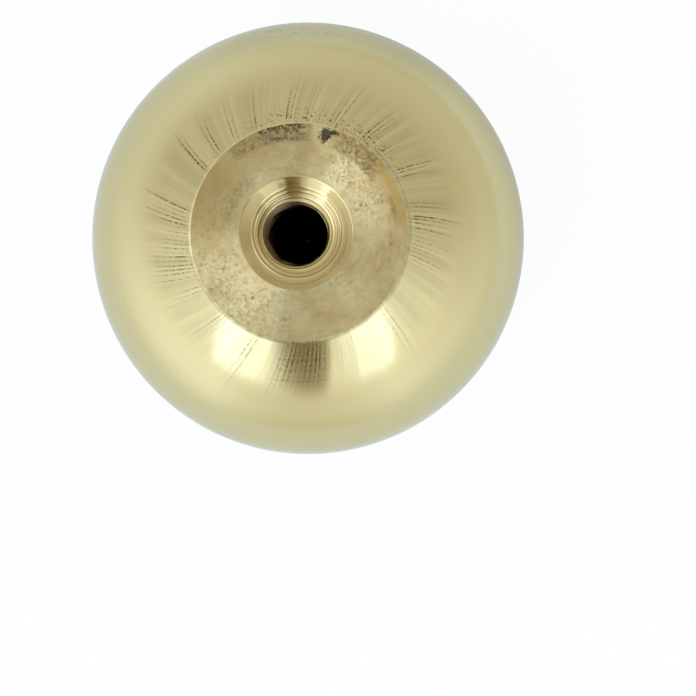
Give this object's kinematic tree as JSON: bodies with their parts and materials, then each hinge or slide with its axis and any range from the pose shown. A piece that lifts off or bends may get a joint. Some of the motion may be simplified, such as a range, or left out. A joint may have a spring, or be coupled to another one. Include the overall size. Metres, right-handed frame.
{
  "type": "cabinet knob",
  "caption": "Solid brass ball knob for a cabinet door or drawer, with a flat end and a countersunk blind tapped hole for a fixing screw.",
  "frame": {"origin": "centre of the flat end, where the knob meets the door or drawer front", "axes": "+Z along the tapped hole, out of its mouth and into the door or drawer front; the ball reaches down to -Z. The part is a turned form, so X and Y only mark where its surface wear is"},
  "size_m": [0.025, 0.025, 0.0233],
  "materials": {
    "brass": "turned and polished ball, unlacquered, with a dull machined flat end"
  },
  "bodies": {
    "root": {"knob": "brass"}
  },
  "joints": []
}
